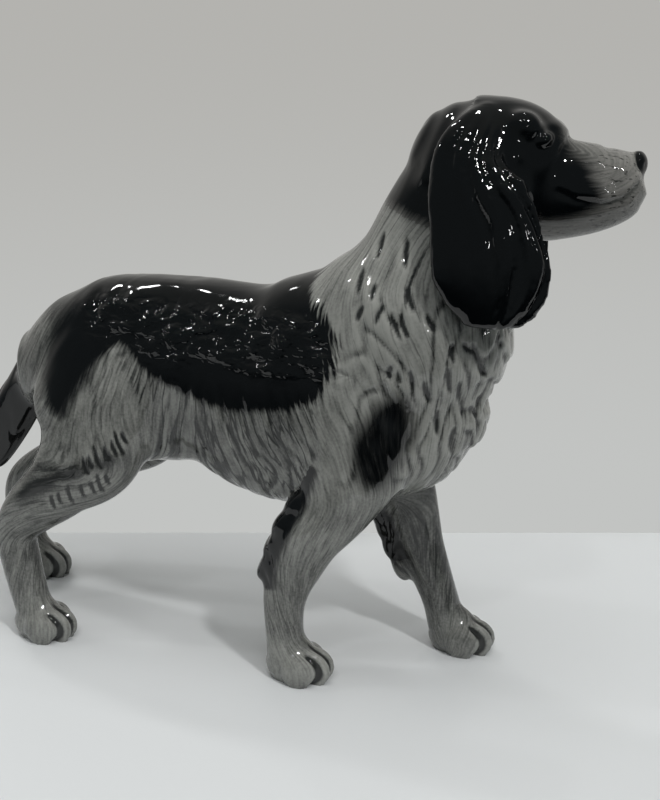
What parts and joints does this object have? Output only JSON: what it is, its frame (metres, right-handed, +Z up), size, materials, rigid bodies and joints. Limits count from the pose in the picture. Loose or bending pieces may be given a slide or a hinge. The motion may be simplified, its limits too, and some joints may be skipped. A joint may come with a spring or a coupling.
{
  "type": "porcelain dog figurine",
  "caption": "Free-standing glazed porcelain figurine of a long-eared spaniel, standing with its head raised and one foreleg forward.",
  "frame": {"origin": "on the shelf, under the middle of the figurine's bounding box", "axes": "+X the way the dog faces, +Y its left, +Z up"},
  "size_m": [0.1844, 0.049, 0.1463],
  "materials": {
    "roan_glaze": "glossy glaze over brushed grey roan",
    "black_glaze": "glossy black glaze"
  },
  "bodies": {
    "root": {"torso": "roan_glaze", "head": "black_glaze", "ear_left": "black_glaze", "ear_right": "black_glaze", "foreleg_left": "roan_glaze", "foreleg_right": "roan_glaze", "hindleg_left": "roan_glaze", "hindleg_right": "roan_glaze", "tail": "black_glaze"}
  },
  "joints": []
}
